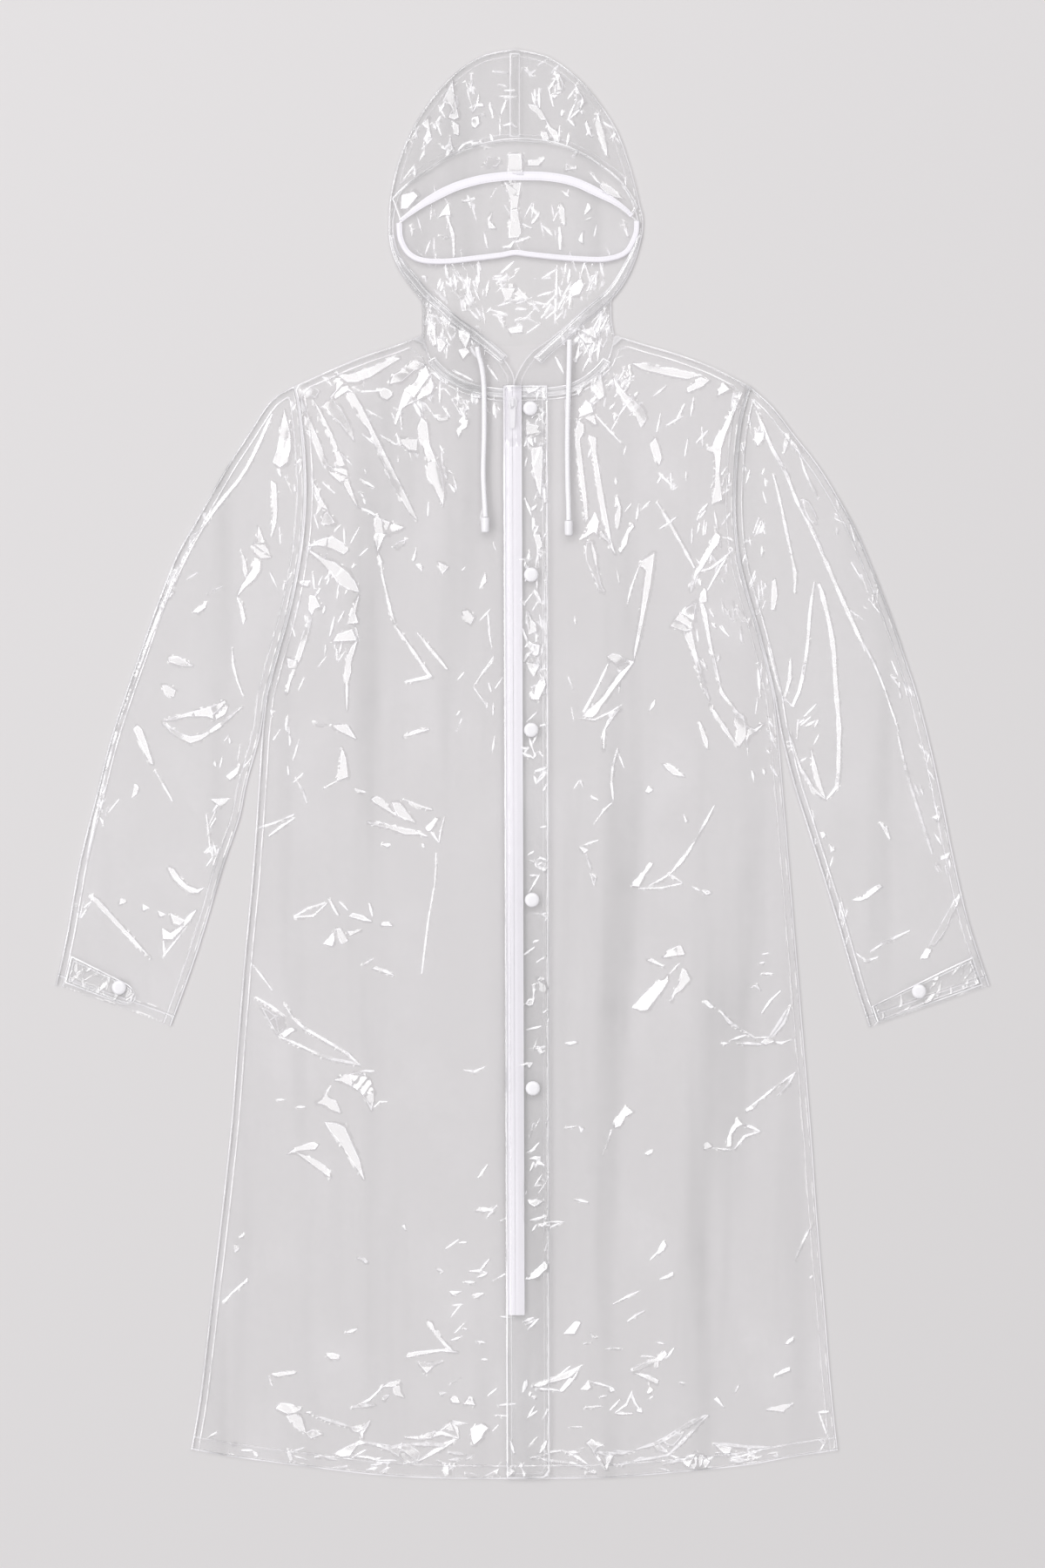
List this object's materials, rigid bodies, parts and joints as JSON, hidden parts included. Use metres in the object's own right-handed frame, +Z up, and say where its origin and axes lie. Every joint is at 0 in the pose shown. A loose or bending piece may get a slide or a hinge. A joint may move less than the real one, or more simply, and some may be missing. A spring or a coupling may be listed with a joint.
{
  "type": "clear hooded raincoat, laid flat",
  "caption": "Clear film raincoat laid flat face up, with a peaked hood, drawcords, a zip under a snapped storm flap, and white bindings.",
  "frame": {"origin": "on the surface the coat rests on, under the middle of its outline", "axes": "+Y from the hem to the hood, along the coat's length; +Z up from the surface, towards the front of the coat; +X towards the wearer's left sleeve"},
  "size_m": [0.911, 1.3953, 0.0127],
  "materials": {
    "clear_film": "clear and glossy",
    "white_trim": "smooth woven tape",
    "white_plastic": "satin",
    "white_cord": "braided, matte"
  },
  "bodies": {
    "root": {"back_panel": "clear_film", "front_right": "clear_film", "front_left": "clear_film", "sleeve_right": "clear_film", "sleeve_left": "clear_film", "cuff_tab_right": "clear_film", "cuff_band_left": "clear_film", "hood_right": "clear_film", "hood_left": "clear_film", "hood_band": "clear_film", "peak": "clear_film", "casing_right": "clear_film", "casing_left": "clear_film", "crown_tape": "clear_film", "neck_band_right": "clear_film", "neck_band_left": "clear_film", "storm_flap": "clear_film", "peak_seam_binding": "white_trim", "peak_edge_binding": "white_trim", "zip_tape_right": "white_trim", "zip_tape_left": "white_trim", "zip_coil": "white_plastic", "zip_slider": "white_plastic", "zip_pull": "white_plastic", "front_snap_1": "white_plastic", "front_snap_2": "white_plastic", "front_snap_3": "white_plastic", "front_snap_4": "white_plastic", "front_snap_5": "white_plastic", "cuff_snap_right": "white_plastic", "cuff_snap_left": "white_plastic", "stopper_right": "white_plastic", "stopper_left": "white_plastic", "drawcord_right": "white_cord", "drawcord_left": "white_cord"}
  },
  "joints": []
}
